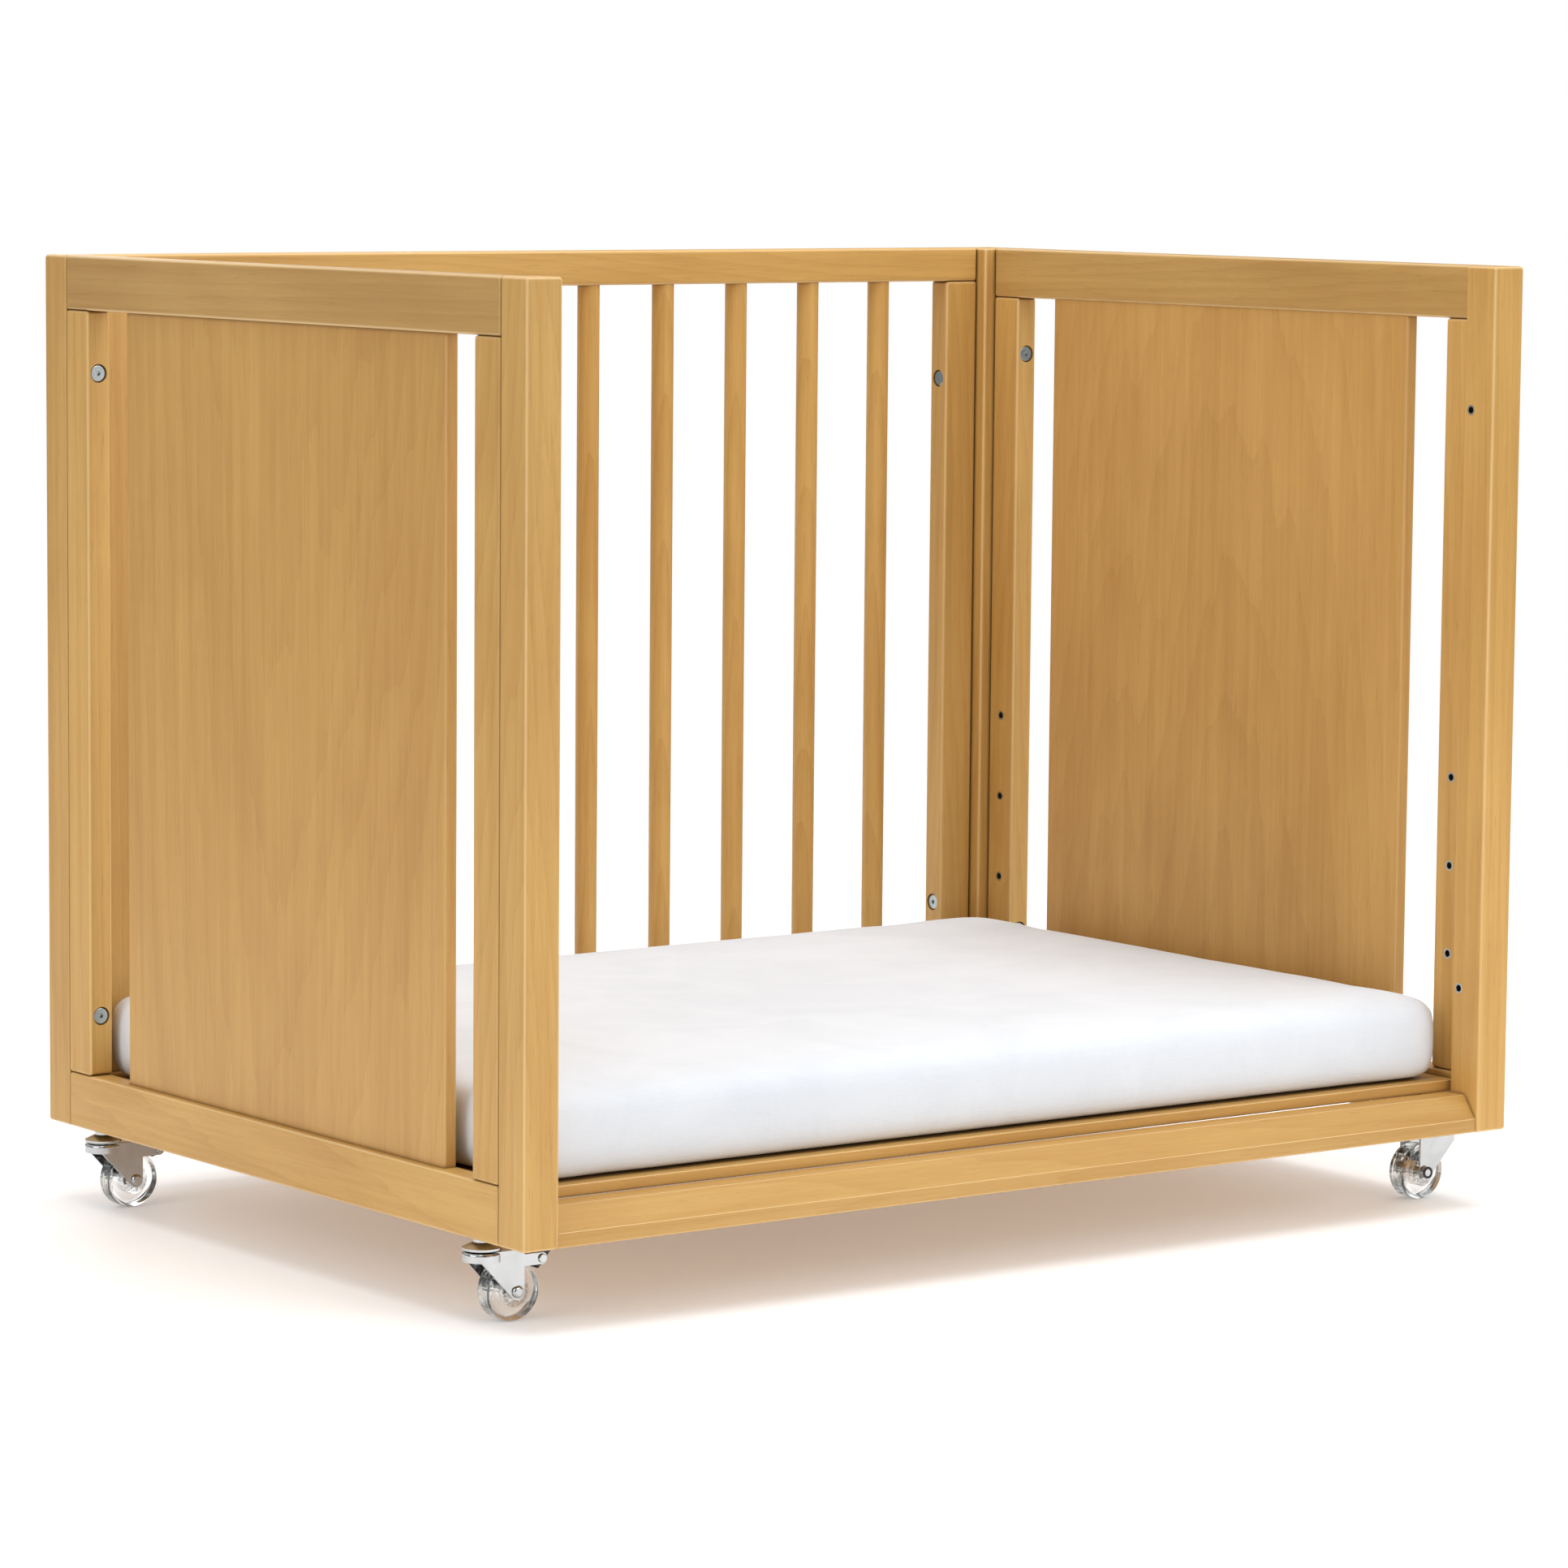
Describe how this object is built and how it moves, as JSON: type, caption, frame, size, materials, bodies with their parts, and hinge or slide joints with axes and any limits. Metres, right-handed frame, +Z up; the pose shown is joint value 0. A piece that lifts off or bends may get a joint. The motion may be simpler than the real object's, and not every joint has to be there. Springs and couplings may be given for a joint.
{
  "type": "playpen",
  "caption": "Wooden playpen on swivel casters, braked at one end, with panelled ends, a spindle back, an open front and a mattress on a fixed board.",
  "frame": {"origin": "on the floor under the middle of the pen", "axes": "+X along the length, from left to right seen from the open front; +Y from the open front to the spindle back; +Z up"},
  "size_m": [1.0254, 0.731, 0.807],
  "materials": {
    "stained_wood": "honey-stained wood under a satin lacquer",
    "zinc_steel": "zinc plated",
    "chrome_steel": "nickel plated pressed steel",
    "clear_plastic": "clear moulded polyurethane",
    "black_plastic": "moulded black nylon",
    "mattress_cover": "white woven cover"
  },
  "bodies": {
    "pen": {"front_left_post": "stained_wood", "front_right_post": "stained_wood", "rear_left_post": "stained_wood", "rear_right_post": "stained_wood", "left_end_top_rail": "stained_wood", "left_end_bottom_rail": "stained_wood", "left_end_front_stile": "stained_wood", "left_end_rear_stile": "stained_wood", "left_end_panel": "stained_wood", "right_end_top_rail": "stained_wood", "right_end_bottom_rail": "stained_wood", "right_end_front_stile": "stained_wood", "right_end_rear_stile": "stained_wood", "right_end_panel": "stained_wood", "back_top_rail": "stained_wood", "back_bottom_rail": "stained_wood", "back_left_stile": "stained_wood", "back_right_stile": "stained_wood", "back_spindles": "stained_wood", "front_stretcher": "stained_wood", "mattress_board": "stained_wood", "left_board_ledge": "stained_wood", "right_board_ledge": "stained_wood", "frame_dowels": "stained_wood", "end_frame_bolts": "zinc_steel", "back_frame_bolts": "zinc_steel", "post_inserts": "zinc_steel", "height_inserts": "zinc_steel", "ledge_screws": "zinc_steel", "front_left_caster_stem": "zinc_steel", "front_right_caster_stem": "zinc_steel", "rear_left_caster_stem": "zinc_steel", "rear_right_caster_stem": "zinc_steel", "caster_sockets": "black_plastic"},
    "mattress": {"mattress": "mattress_cover"},
    "front_left_swivel": {"front_left_caster_fork": "chrome_steel", "front_left_caster_axle": "chrome_steel", "front_left_brake_pin": "chrome_steel"},
    "front_left_wheel": {"front_left_caster_tyre": "clear_plastic", "front_left_caster_hub": "clear_plastic"},
    "front_left_brake": {"front_left_brake_pedal": "black_plastic"},
    "front_right_swivel": {"front_right_caster_fork": "chrome_steel", "front_right_caster_axle": "chrome_steel"},
    "front_right_wheel": {"front_right_caster_tyre": "clear_plastic", "front_right_caster_hub": "clear_plastic"},
    "rear_left_swivel": {"rear_left_caster_fork": "chrome_steel", "rear_left_caster_axle": "chrome_steel", "rear_left_brake_pin": "chrome_steel"},
    "rear_left_wheel": {"rear_left_caster_tyre": "clear_plastic", "rear_left_caster_hub": "clear_plastic"},
    "rear_left_brake": {"rear_left_brake_pedal": "black_plastic"},
    "rear_right_swivel": {"rear_right_caster_fork": "chrome_steel", "rear_right_caster_axle": "chrome_steel"},
    "rear_right_wheel": {"rear_right_caster_tyre": "clear_plastic", "rear_right_caster_hub": "clear_plastic"}
  },
  "joints": [
    {"name": "mattress_lift", "type": "slide", "parent": "pen", "child": "mattress", "axis": [0, 0, 1], "range_m": [0, 0.85]},
    {"name": "front_left_caster_swivel", "type": "hinge", "parent": "pen", "child": "front_left_swivel", "pos_m": [-0.497, -0.2915, 0.057], "axis": [0, 0, 1], "continuous": true},
    {"name": "front_left_wheel_spin", "type": "hinge", "parent": "front_left_swivel", "child": "front_left_wheel", "pos_m": [-0.4725, -0.2915, 0.024], "axis": [0, 1, 0], "continuous": true},
    {"name": "front_left_brake_press", "type": "hinge", "parent": "front_left_swivel", "child": "front_left_brake", "pos_m": [-0.4495, -0.2915, 0.048], "axis": [0, 1, 0], "range_deg": [0, 30]},
    {"name": "front_right_caster_swivel", "type": "hinge", "parent": "pen", "child": "front_right_swivel", "pos_m": [0.497, -0.2915, 0.057], "axis": [0, 0, 1], "continuous": true},
    {"name": "front_right_wheel_spin", "type": "hinge", "parent": "front_right_swivel", "child": "front_right_wheel", "pos_m": [0.4725, -0.2915, 0.024], "axis": [0, 1, 0], "continuous": true},
    {"name": "rear_left_caster_swivel", "type": "hinge", "parent": "pen", "child": "rear_left_swivel", "pos_m": [-0.497, 0.2915, 0.057], "axis": [0, 0, 1], "continuous": true},
    {"name": "rear_left_wheel_spin", "type": "hinge", "parent": "rear_left_swivel", "child": "rear_left_wheel", "pos_m": [-0.4725, 0.2915, 0.024], "axis": [0, 1, 0], "continuous": true},
    {"name": "rear_left_brake_press", "type": "hinge", "parent": "rear_left_swivel", "child": "rear_left_brake", "pos_m": [-0.4495, 0.2915, 0.048], "axis": [0, 1, 0], "range_deg": [-30, 0]},
    {"name": "rear_right_caster_swivel", "type": "hinge", "parent": "pen", "child": "rear_right_swivel", "pos_m": [0.497, 0.2915, 0.057], "axis": [0, 0, 1], "continuous": true},
    {"name": "rear_right_wheel_spin", "type": "hinge", "parent": "rear_right_swivel", "child": "rear_right_wheel", "pos_m": [0.4725, 0.2915, 0.024], "axis": [0, 1, 0], "continuous": true}
  ]
}
